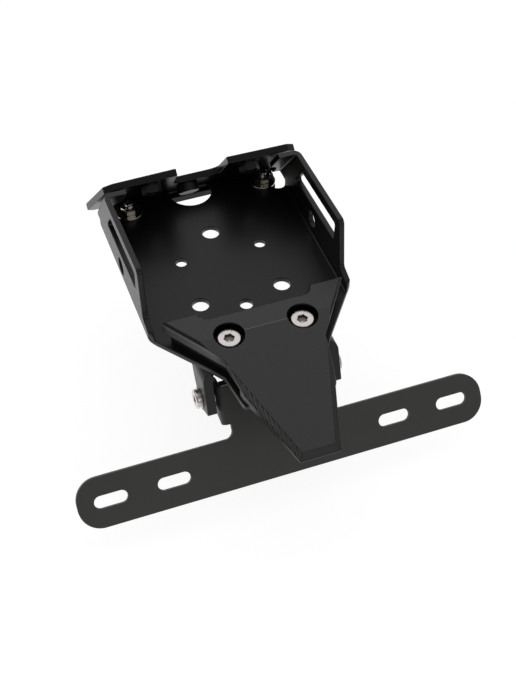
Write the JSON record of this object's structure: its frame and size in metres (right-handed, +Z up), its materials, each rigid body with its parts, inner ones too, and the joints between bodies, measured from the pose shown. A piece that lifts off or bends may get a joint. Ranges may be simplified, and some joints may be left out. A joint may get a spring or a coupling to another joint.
{
  "type": "tail tidy",
  "caption": "Under-tail licence plate bracket for a motorcycle: folded tray with slotted walls, front bracket, milled cover with a sloping tail and a tilting cross bar with slots.",
  "frame": {"origin": "midway between the two small fixing holes of the tray, on top of its floor", "axes": "+Z up, square to the tray's floor; +Y towards the front of the motorcycle; +X to the right"},
  "size_m": [0.2232, 0.2088, 0.0979],
  "materials": {
    "tray_black": "satin black powder coat",
    "bracket_black": "satin black powder coat",
    "hinge_black": "satin black powder coat",
    "plate_black": "fine textured black powder coat",
    "cover_milled": "dark anodised with fine milling lines",
    "spacer_black": "matt",
    "bright_zinc": "bright zinc",
    "stainless": "stainless, satin",
    "black_zinc": "black zinc"
  },
  "bodies": {
    "frame": {"tray": "tray_black", "front_bracket": "bracket_black", "bracket_nut_left": "black_zinc", "bracket_nut_right": "black_zinc", "centre_spacer": "spacer_black", "front_bolt_left": "bright_zinc", "front_bolt_right": "bright_zinc", "front_washer_left": "bright_zinc", "front_washer_right": "bright_zinc", "front_nut_left": "bright_zinc", "front_nut_right": "bright_zinc", "cover": "cover_milled", "cover_screw_left": "stainless", "cover_screw_right": "stainless", "cover_nut_left": "black_zinc", "cover_nut_right": "black_zinc", "hinge_bracket": "hinge_black", "pivot_screw_left": "stainless", "pivot_screw_right": "stainless", "pivot_washer_left": "stainless", "pivot_washer_right": "stainless", "pivot_nut_left": "black_zinc", "pivot_nut_right": "black_zinc"},
    "plate": {"plate_bracket": "plate_black"}
  },
  "joints": [
    {"name": "plate_tilt", "type": "hinge", "parent": "frame", "child": "plate", "pos_m": [0, -0.0734, -0.0253], "axis": [1, 0, 0], "range_deg": [-15, 40]}
  ]
}
